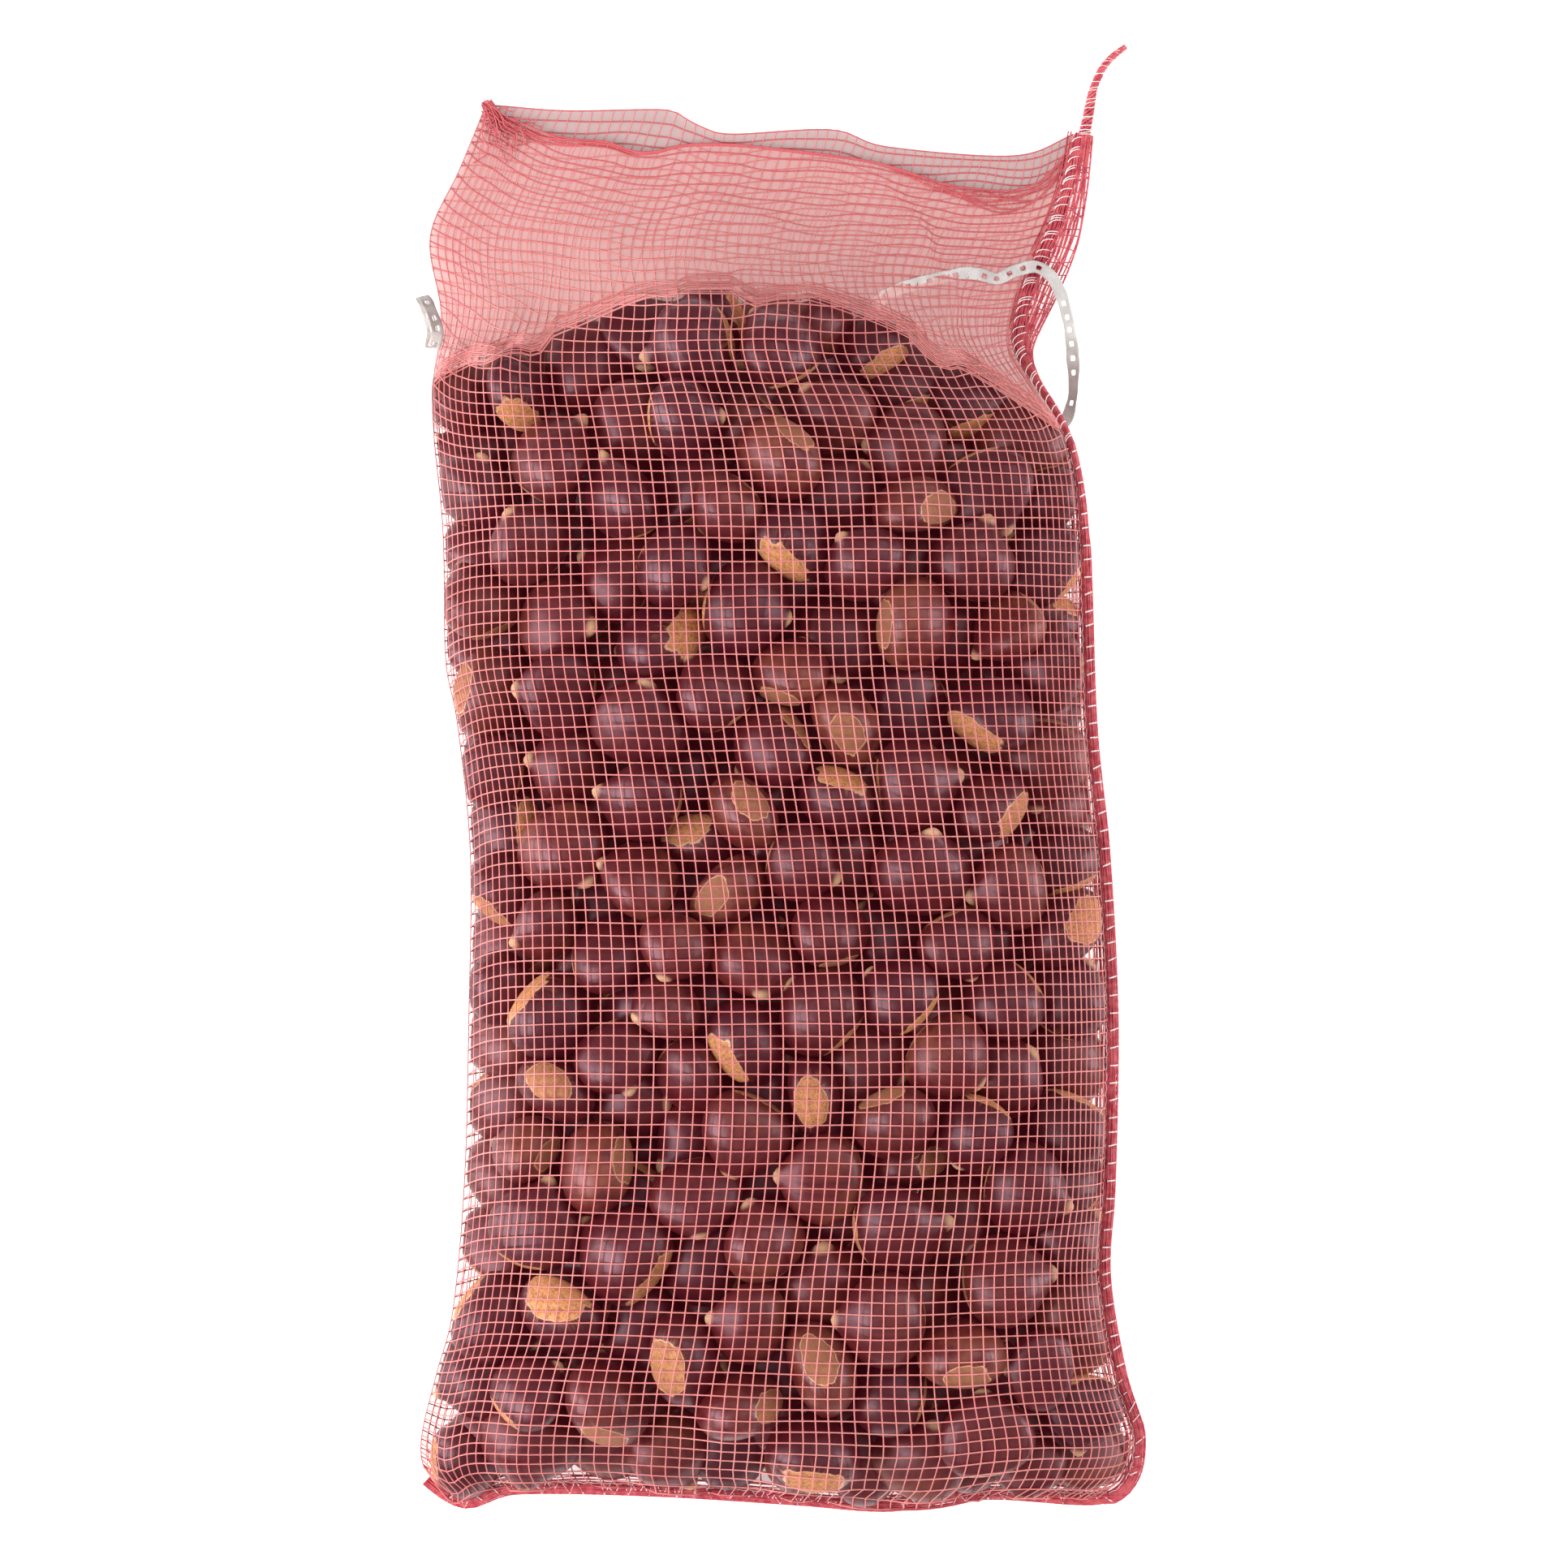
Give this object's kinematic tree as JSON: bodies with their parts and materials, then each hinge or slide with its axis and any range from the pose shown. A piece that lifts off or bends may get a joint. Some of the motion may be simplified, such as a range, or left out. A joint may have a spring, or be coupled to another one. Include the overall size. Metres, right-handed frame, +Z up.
{
  "type": "net bag of chestnuts",
  "caption": "Net bag filled with sweet chestnuts, lying on its back, with an overlocked seam, an empty collar and a drawstring in its mouth.",
  "frame": {"origin": "middle of the bag's box in plan, on the surface it lies on", "axes": "+X to the sewn side, +Y along the bag to its mouth, +Z up from the surface, to the side that shows"},
  "size_m": [0.252, 0.509, 0.0691],
  "materials": {
    "net": "red woven plastic net over glossy dark brown chestnuts",
    "overlock": "crimson gathered net bound with white thread",
    "tape": "white knitted tape with small holes",
    "chestnut": "glossy dark brown shell with a pale grainy scar"
  },
  "bodies": {
    "root": {"net_of_chestnuts": "net", "overlock_seam": "overlock", "drawstring_loop": "tape", "drawstring_end": "tape"}
  },
  "joints": []
}
